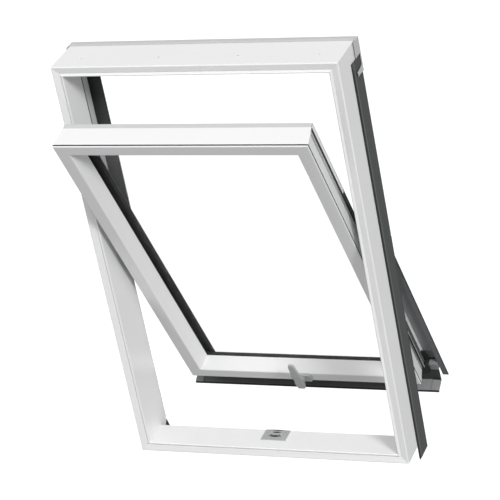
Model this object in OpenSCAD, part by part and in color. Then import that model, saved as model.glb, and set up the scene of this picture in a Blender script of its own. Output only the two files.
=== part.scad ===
// Centre-pivot roof window: a fixed plastic frame and a sash that turns in it.
// X runs across the window, +Y points out of the roof, +Z points up the slope.
// The origin is the middle of the sill's bottom face.
// In the frame's own space y is the depth behind the room face of the frame.
// In the sash's own space y is the depth behind the room face of the sash, and
// z is measured up the sash from its middle.

/* [Frame] */
// Width over the frame
frame_w = 780; // [550:1:1140]
// Height over the frame
frame_h = 1180; // [900:1:1600]
// Depth of the frame profile
frame_d = 124; // [110:1:150]
// Width of the frame profile, seen from the room
frame_face = 28; // [24:0.5:40]
// Outer wall of the plastic profiles
wall = 2.8; // [2:0.1:3.5]
// Radius of the rounded front edges
nose_r = 3; // [1:0.5:5]
// Distance of the decorative groove from the outer face
groove_a = 18.8; // [12:0.1:20]
// Drop of the front face at the groove
groove_drop = 2.7; // [1:0.1:4]
// Depth of the sill's flat inner face
sill_flat = 88; // [80:1:95]
// Depth at which the sill's slope ends
sill_back = 112; // [105:1:118]
// Height of the sill at its back
sill_low = 8; // [7:0.5:16]
// Step at the back of the sill's flat inner face
sill_step = 3; // [2:0.5:5]

/* [Sash] */
// Gap between sash and frame at each side
side_gap = 18.3; // [16:0.1:26]
// Mean gap between sash and frame at top and bottom
end_gap = 16.5; // [14:0.1:30]
// Set-back of the closed sash behind the frame's room face
set_back = 52.7; // [45:0.1:60]
// Drop of the closed sash below the frame's middle
sash_drop = 3; // [0:0.5:4]
// Depth of the sash profile
sash_d = 65; // [60:1:68]
// Width of the sash's flat room face
sash_face = 37; // [34:0.5:44]
// Distance of the glass lip from the sash's outer face
lip_a = 54.7; // [50:0.1:60]
// Depth of the glass lip
lip_d = 38; // [34:1:40]
// Distance of the glass rebate from the sash's outer face
rebate_a = 14; // [13:0.5:16]
// Inward taper of the sash's outer face at its back
taper = 8; // [5:0.5:10]

/* [Pivot] */
// Rise of the pivot above the frame's middle
pivot_rise = 9; // [0:1:20]
// Depth of the pivot behind the frame's room face
pivot_d = 150; // [149:0.5:156]
// Angle that the sash stands open at rest
open_angle = 25.5; // [0:0.5:90]
// Radius of the pivot pin
pin_r = 4; // [3:0.5:5]
// Radius of the hinge knuckles
knuckle_r = 8.5; // [7:0.5:10]
// Thickness of the hinge plate on the frame
hinge_t = 4; // [3:0.5:5]
// Half height of the hinge plates
hinge_half = 42; // [35:1:60]

/* [Glazing] */
// Thickness of one pane
pane_t = 4; // [3:0.5:6]
// Cavity between the panes
cavity = 16; // [12:1:16]
// Clearance between the panes' edge and the rebate
glass_gap = 4; // [3:0.5:6]
// Thickness of the glazing gaskets
gasket_t = 2.5; // [2:0.1:4]
// Width of the edge seal and the spacer together
edge_w = 18; // [14:1:22]

/* [Metal covers] */
// Sheet thickness of the covers
sheet = 1.2; // [0.8:0.1:1.5]
// Depth at which the frame's side cladding starts
clad_d = 82; // [70:1:95]
// Depth of the closed outer surface
outer_d = 147; // [146:0.5:148]
// Length of the cladding below the frame
drip = 43; // [20:1:60]
// Distance from the frame's top to the side cladding
clad_top = 45; // [30:1:70]
// Drop of the head cap behind the frame
cap_drop = 36; // [24:1:40]
// Half length of the gap that the covers leave at the hinge
hinge_clear = 20; // [16:1:30]
// Length of the apron below the sash
apron_len = 82.5; // [60:0.5:100]

/* [Hardware] */
// Spacing of the fixing holes in the head
fix_pitch = 217.5; // [100:0.5:230]
// Radius of the fixing holes in the head
fix_r = 3; // [2:0.5:4]
// Offset of the latch and strike plate from the middle
latch_x = -8; // [-40:1:40]
// Length of the handle's lever above its hub
lever_len = 101; // [80:1:140]
// Travel of the latch
latch_travel = 12; // [8:0.1:12]

/* [Hidden] */
$fn = 48;

// clearances
fit = 0.05;          // radial, pins and shafts
loose = 0.3;         // pieces that lie in a channel
far = 80;            // longer than any mitre
eps = 0.01;

// derived sizes of the sash
sash_w = frame_w - 2 * (frame_face + side_gap);
sash_h = frame_h - 2 * (frame_face + end_gap);
pivot_z = frame_h / 2 + pivot_rise;
sash_z = frame_h / 2 - sash_drop;
pivot_n = pivot_d - set_back;       // pivot in the sash's space
pivot_u = pivot_z - sash_z;

// perimeter seal groove and the taper behind it
seal_d0 = 3.5;
seal_d1 = 8;
seal_depth = 5;
taper_d = 12;
taper_a = 0.5;
function side_a(d) = taper_a + (taper - taper_a) * (d - taper_d) / (sash_d - taper_d);

// glazing, from the room outwards
glass_a = rebate_a + glass_gap;
glass_d0 = lip_d + gasket_t;
cavity_d0 = glass_d0 + pane_t;
cavity_d1 = cavity_d0 + cavity;
glass_d1 = cavity_d1 + pane_t;
spacer_w = 7;
spacer_a = glass_a + edge_w - spacer_w;

// sash covers
cover_top_d = sash_d + 13;
cover_side_in = 62.7;
cover_low = glass_d1 + gasket_t + loose;   // inner edge, above the gasket
cover_fall = cover_top_d - cover_low - sheet - 0.1;   // from a cover's outer edge to its inner edge
cover_top_in = 46;
cover_bottom_in = 24;
function cover_d(a, a_in) = cover_top_d - (a - taper) * cover_fall / (a_in - taper);

cap_gap = 3.6;       // from the frame's side to the cap's side
trim_t = 0.8;        // strips behind the upper half of the jambs' inner faces
trim_d = 98;

// lower covers on the sash, half widths from the window's middle
rail_x = sash_w / 2 - taper + loose;
rail_d0 = sash_d + loose;
cover_plane = outer_d - set_back + 0.7;
step_x = frame_w / 2 - 20;
brim_x = frame_w / 2 - 4;
brim_d = cover_plane - 11;
cover_u1 = pivot_u - hinge_clear;
apron_u = -sash_h / 2 - apron_len;
apron_top_u = apron_u + 39;
end_h = 27;          // height of the end blocks above the apron's plate
cover_u0 = apron_top_u + end_h + 1;
apron_front = 30;
apron_back = 67;
apron_d = cover_top_d + 1;

// steel, chambers
chamber_d = [7, 27, 30, 84, 87];
steel_t = 1.5;
steel_short = 45;
fix_d = chamber_d[2] + 22;
sash_ch_a = [8.2, 32];
sash_ch_d = [wall, 35];

// hinge
arm_x1 = sash_w / 2 + 4.5;
arm_x0 = arm_x1 - 7;
plate_x = frame_w / 2 - frame_face;
screw_r = 2;
screw_head_r = 4;
frame_screw_d = [97, 109];
sash_screw_n = [21, 32];
screw_z = 30;

// handle and latch
handle_u = -sash_h / 2 + 21.5;
base_h = 8;
hub_r = 11;
lever_n = [-31, -20];
spindle_r = 5;
tongue_n = 21.3;
tongue_t = 5;
tongue_w = 24;
tongue_rest = 2.5;
case_x = 55;
strike_w = 72;
strike_d = [39, 87];
strike_t = 3;
slot_d = [56, 74, 83.5];

// ---- spaces -------------------------------------------------------------

module frame_space() translate([0, -frame_d / 2, 0]) children();

module sash_space()
    frame_space()
        translate([0, pivot_d, pivot_z]) rotate([open_angle, 0, 0])
            translate([0, set_back - pivot_d, sash_z - pivot_z]) children();

// children are drawn for the left side, x inwards from the outer face
module on_side(side, w, h) {
    $run = (side == "left" || side == "right") ? h : w;
    if (side == "left") translate([-w / 2, 0, 0]) children();
    if (side == "right") mirror([1, 0, 0]) translate([-w / 2, 0, 0]) children();
    if (side == "top") translate([0, 0, h / 2]) rotate([0, 90, 0]) children();
    if (side == "bottom") translate([0, 0, -h / 2]) rotate([0, -90, 0]) children();
}

module on_frame(side)
    frame_space() translate([0, 0, frame_h / 2]) on_side(side, frame_w, frame_h) children();

module on_sash(side) sash_space() on_side(side, sash_w, sash_h) children();

module both_sides() {
    children();
    mirror([1, 0, 0]) children();
}

module hand(side) mirror([side == "left" ? 1 : 0, 0, 0]) children();

// ---- helpers ------------------------------------------------------------

function arc(c, r, t0, t1, n = 6) =
    [for (i = [0:n]) let (t = t0 + (t1 - t0) * i / n) c + r * [cos(t), sin(t)]];

// a box from its two corners
module box(p, q) translate(p) cube(q - p);

// section in x and y, swept along the member and cut at both mitres
module mitred_bar(inset = 0) {
    half = $run / 2 - inset;
    intersection() {
        translate([0, 0, -half - far]) linear_extrude(2 * (half + far)) children();
        rotate([90, 0, 0]) translate([0, 0, -2 * frame_d]) linear_extrude(3 * frame_d)
            polygon([[-far, -half - far], [far, far - half], [far, half - far],
                     [-far, half + far]]);
    }
}

// a section in y and z, swept along x
module sweep_x(x0, x1) translate([x0, 0, 0]) rotate([90, 0, 90]) linear_extrude(x1 - x0) children();

// a closed band between two rectangles in x and z
module band(outer, inner, d0, d1)
    difference() {
        box([outer[0], d0, outer[1]], [outer[2], d1, outer[3]]);
        box([inner[0], d0 - 1, inner[1]], [inner[2], d1 + 1, inner[3]]);
    }

function sash_rect(a, top = undef, bottom = undef) =
    [-sash_w / 2 + a, -sash_h / 2 + (bottom == undef ? a : bottom),
     sash_w / 2 - a, sash_h / 2 - (top == undef ? a : top)];

module disc_x(x0, x1, r) translate([x0, 0, 0]) rotate([0, 90, 0]) cylinder(h = x1 - x0, r = r);

module countersunk_x(x0, x1, r, head)
    union() {
        disc_x(x0, x1, r);
        translate([x0, 0, 0]) rotate([0, 90, 0]) cylinder(h = head - r, r1 = head, r2 = r);
    }

// ---- frame --------------------------------------------------------------

frame_outline = concat(
    arc([nose_r, nose_r], nose_r, 180, 270),
    [[groove_a - 0.6, groove_drop], [groove_a, groove_drop + 1.4]],
    arc([frame_face - nose_r, nose_r], nose_r, 270, 360),
    [[frame_face, frame_d], [0, frame_d]]);

module chamber(d0, d1)
    translate([wall, d0]) square([frame_face - 2 * wall, d1 - d0]);

module frame_section()
    difference() {
        polygon(frame_outline);
        chamber(chamber_d[0], chamber_d[1]);
        chamber(chamber_d[2], chamber_d[3]);
        chamber(chamber_d[4], frame_d - wall);
    }

// the sill's back chamber stays below its slope
module sill_section()
    difference() {
        polygon(frame_outline);
        chamber(chamber_d[0], chamber_d[1]);
        chamber(chamber_d[2], chamber_d[3]);
        polygon([[wall, chamber_d[4]], [frame_face - wall - sill_step, chamber_d[4]],
                 [sill_low - wall, sill_back - wall], [wall, sill_back - wall]]);
    }

module frame_bar(side) color("white") on_frame(side) mitred_bar() frame_section();

module fixing_holes()
    frame_space() for (i = [-1.5:1:1.5])
        translate([i * fix_pitch, fix_d, frame_h - wall - loose - steel_t - 2])
            cylinder(h = frame_face, r = fix_r);

module frame_hinge_holes(side, r)
    frame_space() hand(side) for (d = frame_screw_d, z = [-screw_z, screw_z])
        translate([plate_x - hinge_t - 1, d, pivot_z + z]) disc_x(0, hinge_t + 14, r);

module frame_head() color("white")
    difference() {
        frame_bar("top");
        fixing_holes();
    }

module frame_sill() color("white")
    difference() {
        on_frame("bottom") mitred_bar() sill_section();
        frame_space() sweep_x(-plate_x, plate_x)
            polygon([[sill_flat, frame_face - sill_step], [sill_back, sill_low], [sill_back, -1],
                     [frame_d + 1, -1], [frame_d + 1, frame_face + 1],
                     [sill_flat, frame_face + 1]]);
        strike_place() translate([0, slot_d[1], -wall - 0.1]) tongue_slot(20);
        strike_screw_holes(screw_r + 0.1);
    }

module frame_jamb(side) color("white")
    difference() {
        frame_bar(side);
        frame_hinge_holes(side, screw_r + 0.1);
    }

module frame_steel(side) color("lightsteelblue")
    difference() {
        on_frame(side) translate([0, 0, steel_short - $run / 2])
            linear_extrude($run - 2 * steel_short)
                translate([wall + loose, chamber_d[2] + loose]) tube_section(
                    frame_face - 2 * (wall + loose),
                    chamber_d[3] - chamber_d[2] - 2 * loose);
        frame_hinge_holes("left", screw_r + 0.3);
        frame_hinge_holes("right", screw_r + 0.3);
        strike_screw_holes(screw_r + 0.3);
        fixing_holes();
    }

module tube_section(w, d)
    difference() {
        square([w, d]);
        translate([steel_t, steel_t]) square([w - 2 * steel_t, d - 2 * steel_t]);
    }

// steel channel, open towards the glass
module channel_section(w, d)
    difference() {
        square([w, d]);
        translate([steel_t, steel_t]) square([w, d - 2 * steel_t]);
    }

// ---- metal covers on the frame --------------------------------------------

module head_cap() color("silver")
    frame_space() {
        x = frame_w / 2 + cap_gap;
        back = outer_d + sheet + 0.1;
        top = frame_h;
        t = sheet;
        box([-frame_w / 2, frame_d, top - 20], [frame_w / 2, frame_d + t, top + t]);
        box([-x - t, frame_d, top], [x + t, back + t, top + t]);
        box([-x - t, back, top - cap_drop], [x + t, back + t, top + t]);
        both_sides() {
            box([x, frame_d - 12, top - clad_top + 3], [x + t, back + t, top + t]);
            box([x, outer_d - 3, top - clad_top - 45], [x + t, back + t, top]);
            sweep_x(x, x + t) polygon([[back, top - clad_top - 27], [back, top - clad_top - 37],
                                       [outer_d - 38, top - clad_top - 47],
                                       [outer_d - 38, top - clad_top - 38]]);
        }
    }

module side_cladding(side) color("dimgray")
    frame_space() hand(side) {
        x = frame_w / 2;
        top = frame_h - clad_top;
        joggle = clad_d + 12;
        box([x, clad_d, -drip], [x + sheet, joggle + sheet, top]);
        box([x + sheet, joggle, -drip], [x + 2 * sheet, outer_d, top]);
        box([x - 2.4, outer_d - sheet, -drip], [x + 2 * sheet, outer_d, pivot_z + hinge_clear]);
        box([x - 20, frame_d, 0], [x + 2 * sheet, frame_d + sheet, top]);
    }

module cladding_seal(side) color("black")
    frame_space() hand(side)
        box([frame_w / 2, clad_d - 1.6, -drip + 6],
            [frame_w / 2 + 1.8, clad_d, frame_h - clad_top]);

module upper_cover(side) color("dimgray")
    frame_space() hand(side) {
        x0 = sash_w / 2 - 9.7;
        x1 = frame_w / 2 + 2 * sheet;
        z0 = pivot_z + hinge_clear;
        z1 = frame_h - sheet;
        box([x0, outer_d, z0], [x1, outer_d + sheet, z1]);
        box([x0, outer_d - 3, z0], [x0 + sheet, outer_d + sheet, z1]);
        box([x1 - 16, frame_d + sheet, z0], [x1 - 16 + sheet, outer_d + sheet, frame_h - clad_top]);
    }

module sill_cladding() color("dimgray")
    frame_space() sweep_x(-plate_x + 0.5, plate_x - 0.5)
        polygon([[sill_flat, frame_face - sill_step], [sill_back, sill_low],
                 [sill_back, -12], [sill_back + sheet, -12], [sill_back + sheet, sill_low + 0.7],
                 [sill_flat, frame_face - sill_step + 1.25 * sheet]]);

module upper_trims() color("silver")
    frame_space() both_sides()
        box([plate_x - trim_t, trim_d, pivot_z + hinge_half + 2],
            [plate_x, frame_d, frame_h - frame_face]);

module frame_seal() color("black")
    frame_space() both_sides()
        box([plate_x + 1.5, frame_d, frame_face + 2],
            [plate_x + 6.5, frame_d + 6, frame_h - frame_face - 2]);

// ---- strike plate ---------------------------------------------------------

module strike_place() frame_space() translate([latch_x, 0, frame_face]) children();

module strike_screw_holes(r)
    strike_place() both_sides() translate([strike_w / 2 - 7, strike_d[1] - 9, -12])
        cylinder(h = 20, r = r);

module tongue_slot(h)
    box([-tongue_w / 2 - 1, -tongue_t / 2 - 0.8, 0], [tongue_w / 2 + 1, tongue_t / 2 + 0.8, h]);

module lens(l, w, h) {
    r = (l * l + w * w) / (4 * w);
    intersection() {
        translate([0, r - w / 2, 0]) cylinder(h = h, r = r, $fn = 96);
        translate([0, w / 2 - r, 0]) cylinder(h = h, r = r, $fn = 96);
    }
}

module strike_plate() color("silver")
    strike_place() difference() {
        union() {
            box([-strike_w / 2, strike_d[0], 0], [strike_w / 2, strike_d[1], 2]);
            box([-strike_w / 2 + 12, strike_d[0] + 6, 0], [strike_w / 2 - 12, strike_d[1], strike_t]);
        }
        translate([0, slot_d[1], -1]) tongue_slot(strike_t + 2);
        for (i = [0, 1]) translate([0, slot_d[2 * i], 1.5]) lens(34, i == 0 ? 9 : 4, strike_t);
        both_sides() translate([strike_w / 2 - 7, strike_d[1] - 9, -1]) cylinder(h = 4, r = screw_r + 0.1);
    }

// ---- hinges ---------------------------------------------------------------

// both plates reach out to a knuckle round the pivot
module hinge_outline(d0, d1, axis_d)
    union() {
        polygon([[d0, -hinge_half], [d1, -hinge_half], [axis_d - 3, -knuckle_r + 0.4],
                 [axis_d - 3, knuckle_r - 0.4], [d1, hinge_half], [d0, hinge_half]]);
        translate([axis_d, 0]) circle(r = knuckle_r);
    }

module frame_hinge(side) color("gray")
    difference() {
        frame_space() hand(side) translate([0, 0, pivot_z]) difference() {
            sweep_x(plate_x - hinge_t, plate_x) hinge_outline(frame_d - 36, frame_d - 8, pivot_d);
            translate([0, pivot_d, 0]) disc_x(plate_x - hinge_t - 1, plate_x + 1, pin_r + fit);
            for (d = frame_screw_d, z = [-screw_z, screw_z])
                translate([plate_x - hinge_t, d, z])
                    countersunk_x(-eps, hinge_t + 1, screw_r + 0.1, screw_head_r + 0.1);
        }
    }

module pivot_pins() color("silver")
    frame_space() translate([0, pivot_d, pivot_z]) both_sides() union() {
        disc_x(arm_x0 - 2.3, arm_x0 - 0.3, pin_r + 2.5);
        disc_x(arm_x0 - 2.3, plate_x - loose, pin_r);
    }

module friction_pads() color("saddlebrown")
    frame_space() translate([0, pivot_d, pivot_z]) both_sides() difference() {
        disc_x(arm_x1 + 0.2, plate_x - hinge_t - 0.1, knuckle_r - 0.5);
        disc_x(arm_x1, plate_x, pin_r + fit);
    }

module frame_screws() color("silver") {
    frame_space() both_sides() for (d = frame_screw_d, z = [-screw_z, screw_z])
        translate([plate_x - hinge_t, d, pivot_z + z])
            countersunk_x(0, hinge_t + 9, screw_r, screw_head_r);
    strike_place() both_sides() translate([strike_w / 2 - 7, strike_d[1] - 9, 0]) {
        translate([0, 0, 2]) cylinder(h = 1.5, r = screw_head_r);
        translate([0, 0, -8]) cylinder(h = 10.5, r = screw_r);
    }
}

module sash_hinge(side) color("gray")
    sash_space() hand(side) difference() {
        intersection() {
            translate([0, 0, pivot_u]) sweep_x(arm_x0 - 20, arm_x1)
                hinge_outline(16, sash_d - 4, pivot_n);
            translate([0, 0, -frame_h / 2]) linear_extrude(frame_h)
                polygon([[sash_w / 2 - side_a(16) + 0.1, 16], [arm_x1, 16],
                         [arm_x1, pivot_n + 20], [arm_x0, pivot_n + 20], [arm_x0, sash_d + 4],
                         [sash_w / 2 - side_a(sash_d) + 0.1, sash_d]]);
        }
        translate([0, pivot_n, pivot_u]) disc_x(arm_x0 - 20, arm_x1 + 1, pin_r + fit);
        for (n = sash_screw_n, z = [-screw_z, screw_z]) translate([arm_x1, n, pivot_u + z])
            mirror([1, 0, 0]) countersunk_x(-eps, 20, screw_r + 0.1, screw_head_r + 0.1);
    }

module sash_screws() color("silver") sash_space() {
    both_sides() for (n = sash_screw_n, z = [-screw_z, screw_z])
        translate([arm_x1, n, pivot_u + z]) mirror([1, 0, 0])
            countersunk_x(0, 22, screw_r, screw_head_r);
    both_sides() translate([20, 0, handle_u]) rotate([-90, 0, 0]) {
        translate([0, 0, -base_h + 1.5]) cylinder(h = 3, r = 3.4);
        translate([0, 0, -base_h + 1.5]) cylinder(h = base_h + 8, r = screw_r);
    }
}

// ---- sash -----------------------------------------------------------------

sash_outline = concat(
    [[taper_a, seal_d1], [seal_depth, seal_d1], [seal_depth, seal_d0], [0, seal_d0]],
    arc([3, 3], 3, 180, 270),
    arc([sash_face - 4, 4], 4, 270, 333),
    [[lip_a - 0.6, lip_d - 1.2], [lip_a, lip_d], [rebate_a, lip_d], [rebate_a, sash_d],
     [taper, sash_d], [taper_a, taper_d]]);

module sash_section()
    difference() {
        polygon(sash_outline);
        translate([sash_ch_a[0], sash_ch_d[0]])
            square([sash_ch_a[1] - sash_ch_a[0], sash_ch_d[1] - sash_ch_d[0]]);
        polygon([[sash_ch_a[1] + wall, 9], [sash_face - 0.6, 9],
                 [lip_a - 5.2, sash_ch_d[1]], [sash_ch_a[1] + wall, sash_ch_d[1]]]);
    }

module sash_hinge_holes(side, r)
    sash_space() hand(side) for (n = sash_screw_n, z = [-screw_z, screw_z])
        translate([arm_x1, n, pivot_u + z]) mirror([1, 0, 0]) disc_x(0, 24, r);

module sash_bar(side) color("white")
    difference() {
        on_sash(side) mitred_bar() sash_section();
        sash_hinge_holes(side, screw_r + 0.1);
    }

module sash_bottom() color("white")
    difference() {
        on_sash("bottom") mitred_bar() sash_section();
        sash_space() {
            box([latch_x - tongue_w / 2 - loose, tongue_n - tongue_t / 2 - loose, -sash_h / 2 - 1],
                [latch_x + tongue_w / 2 + loose, tongue_n + tongue_t / 2 + loose,
                 -sash_h / 2 + sash_ch_a[0] + 1]);
            translate([0, 0, handle_u]) rotate([-90, 0, 0]) {
                translate([0, 0, -1]) cylinder(h = wall + 2, r = spindle_r + 0.5);
                both_sides() translate([20, 0, -1]) cylinder(h = 9, r = screw_r + 0.1);
            }
        }
    }

module sash_steel(side) color("lightsteelblue")
    difference() {
        on_sash(side) translate([0, 0, steel_short - $run / 2])
            linear_extrude($run - 2 * steel_short)
                translate([sash_ch_a[0] + loose, sash_ch_d[0] + loose]) channel_section(
                    sash_ch_a[1] - sash_ch_a[0] - 2 * loose,
                    sash_ch_d[1] - sash_ch_d[0] - 2 * loose);
        sash_hinge_holes("left", screw_r + 0.3);
        sash_hinge_holes("right", screw_r + 0.3);
    }

module sash_steel_bottom() difference() {
    sash_steel("bottom");
    sash_space() box([-case_x - 8, -1, -sash_h / 2], [case_x + 8, sash_d, -sash_h / 2 + lip_a]);
}

module sash_seal() color("black")
    sash_space() band(sash_rect(-1.2), sash_rect(seal_depth - loose), seal_d0 + 1, seal_d1 - 1);

// ---- glazing --------------------------------------------------------------

module pane(d) color("lightcyan", 0.35)
    sash_space() box([-sash_w / 2 + glass_a, d, -sash_h / 2 + glass_a],
                     [sash_w / 2 - glass_a, d + pane_t, sash_h / 2 - glass_a]);

module spacer_bar() color("darkslategray")
    sash_space() band(sash_rect(spacer_a), sash_rect(spacer_a + spacer_w), cavity_d0, cavity_d1);

module edge_seal() color("black")
    sash_space() band(sash_rect(glass_a), sash_rect(spacer_a), cavity_d0, cavity_d1);

module inner_gasket() color("black")
    sash_space() band(sash_rect(lip_a - 8), sash_rect(lip_a - 0.6), lip_d, glass_d0);

module outer_gasket() color("black")
    sash_space() band(
        sash_rect(cover_side_in - 9, cover_top_in - 9, cover_bottom_in - 3),
        sash_rect(cover_side_in + 1.5, cover_top_in + 1.5, cover_bottom_in + 1.5),
        glass_d1, glass_d1 + gasket_t);

module setting_blocks() color("black")
    sash_space() {
        for (s = [-1, 1], x = [-1, 1])
            translate([x * sash_w * 0.3, 0, s * (sash_h / 2 - rebate_a - glass_gap / 2)])
                box([-40, glass_d0, -glass_gap / 2], [40, glass_d1 - 0.5, glass_gap / 2]);
        for (s = [-1, 1], z = [-1, 1])
            translate([s * (sash_w / 2 - rebate_a - glass_gap / 2), 0, z * sash_h * 0.35])
                box([-glass_gap / 2, glass_d0, -40], [glass_gap / 2, glass_d1 - 0.5, 40]);
    }

// ---- metal covers on the sash -----------------------------------------------

module cover_section(a_in)
    polygon([[taper, sash_d], [taper, cover_top_d], [a_in, cover_d(a_in, a_in)],
             [a_in, cover_low], [a_in - sheet, cover_low],
             [a_in - sheet, cover_d(a_in - sheet, a_in) - sheet],
             [taper + sheet, cover_top_d - sheet], [taper + sheet, sash_d]]);

module sash_cover(side, a_in) on_sash(side) mitred_bar() cover_section(a_in);

// a side cover is wider, so past the mitre it runs square to the top and bottom covers
module side_cover(side) on_sash(side) intersection() {
    half = $run / 2;
    low = cover_bottom_in + 0.1;
    high = cover_top_in + 0.1;
    translate([0, 0, -half]) linear_extrude(2 * half) cover_section(cover_side_in);
    rotate([90, 0, 0]) translate([0, 0, -2 * frame_d]) linear_extrude(3 * frame_d)
        polygon([[-far, -half - far], [low, low - half], [far, low - half], [far, half - high],
                 [high, half - high], [-far, half + far]]);
}

// the flange that the lower covers hang on, a channel from the sash's side
module cover_rail(side) color("silver")
    sash_space() hand(side)
        box([rail_x, rail_d0, cover_u0],
            [rail_x + sheet, cover_plane, pivot_u - hinge_half - 1]);

module lower_cover(side) color("dimgray")
    sash_space() hand(side) {
        t = sheet;
        box([rail_x, cover_plane, cover_u0], [step_x + t, cover_plane + t, cover_u1]);
        box([step_x, brim_d, apron_u + 1], [step_x + t, cover_plane + t, cover_u1]);
        box([step_x, brim_d, apron_u + 1], [brim_x, brim_d + t, cover_u1]);
    }

// section of the apron in depth and height: flange, plate, slope and foot
module apron() color("dimgray")
    sash_space() {
        u1 = -sash_h / 2 + taper;
        t = sheet;
        sweep_x(-rail_x + 1, rail_x - 1)
            polygon([[sash_d + 2, u1], [apron_d, u1], [apron_d, apron_top_u],
                     [apron_d - t, apron_top_u], [apron_d - t, u1 - t], [sash_d + 2, u1 - t]]);
        sweep_x(-step_x + 0.5, step_x - 0.5)
            polygon([[apron_d, apron_top_u], [apron_back, apron_u + t], [apron_back, apron_u],
                     [apron_front, apron_u], [apron_front, apron_u + t],
                     [apron_back - t, apron_u + t], [apron_d - t, apron_top_u]]);
    }

module apron_seal() color("black")
    sash_space() box([-step_x + 0.5, apron_front - 2.6, apron_u - 2.5],
                     [step_x - 0.5, apron_front, apron_u + 2.5]);

module apron_ends() color("gray")
    sash_space() both_sides() {
        u0 = apron_u + sheet;
        box([step_x - 24, apron_front + 0.5, u0], [step_x - 0.5, apron_back - 3, u0 + 4]);
        box([step_x - 24, apron_d - 3, apron_top_u],
            [step_x - 0.5, cover_plane - loose, apron_top_u + end_h]);
    }

// ---- handle and lock --------------------------------------------------------

module handle_place() sash_space() translate([0, 0, handle_u]) rotate([90, 0, 0]) children();

module handle_base() color("darkgray")
    handle_place() difference() {
        linear_extrude(base_h) intersection() {
            square([70, 31], center = true);
            circle(r = 30.5);
        }
        translate([0, 0, -1]) cylinder(h = base_h + 2, r = hub_r + fit);
        both_sides() translate([20, 0, -1]) cylinder(h = base_h + 2, r = screw_r + 0.1);
        both_sides() translate([20, 0, base_h - 5]) cylinder(h = 6, r = 3.5);
    }

module handle_lever() color("darkgray")
    handle_place() difference() {
        union() {
            translate([0, 0, 1]) cylinder(h = -lever_n[1], r = hub_r);
            translate([0, 0, -lever_n[1]]) linear_extrude(lever_n[1] - lever_n[0]) union() {
                circle(r = 15);
                polygon([[-8, -15.5], [8, -15.5], [10.5, 12], [8, lever_len - 8],
                         [-8, lever_len - 8], [-10.5, 12]]);
                translate([0, lever_len - 8]) circle(r = 8);
            }
        }
        translate([0, 0, -1]) cylinder(h = -lever_n[1] - 2, r = spindle_r + fit);
    }

module handle_spindle() color("silver")
    handle_place() translate([0, 0, -26]) cylinder(h = 26 - lever_n[1] - 4, r = spindle_r);

module lock_case() color("gray")
    sash_space() difference() {
        box([-case_x, sash_ch_d[0] + loose, -sash_h / 2 + sash_ch_a[0] + loose],
            [case_x, sash_ch_d[1] - loose, -sash_h / 2 + sash_ch_a[1] - loose]);
        box([latch_x - tongue_w / 2 - loose, tongue_n - tongue_t / 2 - loose, -sash_h / 2],
            [latch_x + tongue_w / 2 + loose, tongue_n + tongue_t / 2 + loose, handle_u + 7]);
        translate([0, 0, handle_u]) rotate([-90, 0, 0]) cylinder(h = 28, r = spindle_r + fit);
        both_sides() translate([20, 0, handle_u]) rotate([-90, 0, 0])
            cylinder(h = 12, r = screw_r + 0.3);
    }

module latch_tongue() color("silver")
    sash_space() difference() {
        box([latch_x - tongue_w / 2, tongue_n - tongue_t / 2, -sash_h / 2 - tongue_rest],
            [latch_x + tongue_w / 2, tongue_n + tongue_t / 2, handle_u + 6]);
        box([-spindle_r - 0.6, 0, handle_u - spindle_r - 0.6],
            [spindle_r + 0.6, sash_d, handle_u + 6 + latch_travel]);
    }

// ---- the window -------------------------------------------------------------

frame_head();
frame_sill();
frame_jamb("left");  // frame_jamb_left
frame_jamb("right");  // frame_jamb_right
frame_steel("top");  // frame_steel_head
frame_steel("bottom");  // frame_steel_sill
frame_steel("left");  // frame_steel_left
frame_steel("right");  // frame_steel_right
head_cap();
side_cladding("left");  // side_cladding_left
side_cladding("right");  // side_cladding_right
cladding_seal("left");  // cladding_seal_left
cladding_seal("right");  // cladding_seal_right
upper_cover("left");  // upper_cover_left
upper_cover("right");  // upper_cover_right
sill_cladding();
upper_trims();
frame_seal();
strike_plate();
frame_hinge("left");  // frame_hinge_left
frame_hinge("right");  // frame_hinge_right
pivot_pins();
friction_pads();
frame_screws();
sash_bar("top");  // sash_top
sash_bottom();
sash_bar("left");  // sash_left
sash_bar("right");  // sash_right
sash_steel("top");  // sash_steel_top
sash_steel_bottom();
sash_steel("left");  // sash_steel_left
sash_steel("right");  // sash_steel_right
pane(glass_d0);  // glass_inner
pane(cavity_d1);  // glass_outer
spacer_bar();
edge_seal();
inner_gasket();
outer_gasket();
setting_blocks();
color("silver") sash_cover("top", cover_top_in);  // sash_cover_top
color("dimgray") sash_cover("bottom", cover_bottom_in);  // sash_cover_bottom
color("dimgray") side_cover("left");  // sash_cover_left
color("dimgray") side_cover("right");  // sash_cover_right
lower_cover("left");  // lower_cover_left
lower_cover("right");  // lower_cover_right
cover_rail("left");  // cover_rail_left
cover_rail("right");  // cover_rail_right
apron();
apron_seal();
apron_ends();
sash_seal();
sash_hinge("left");  // sash_hinge_left
sash_hinge("right");  // sash_hinge_right
sash_screws();
handle_base();
lock_case();
handle_lever();
handle_spindle();
latch_tongue();
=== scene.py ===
import bmesh
import bpy
import math
from mathutils import Matrix, Vector
from mathutils.geometry import tessellate_polygon


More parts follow.
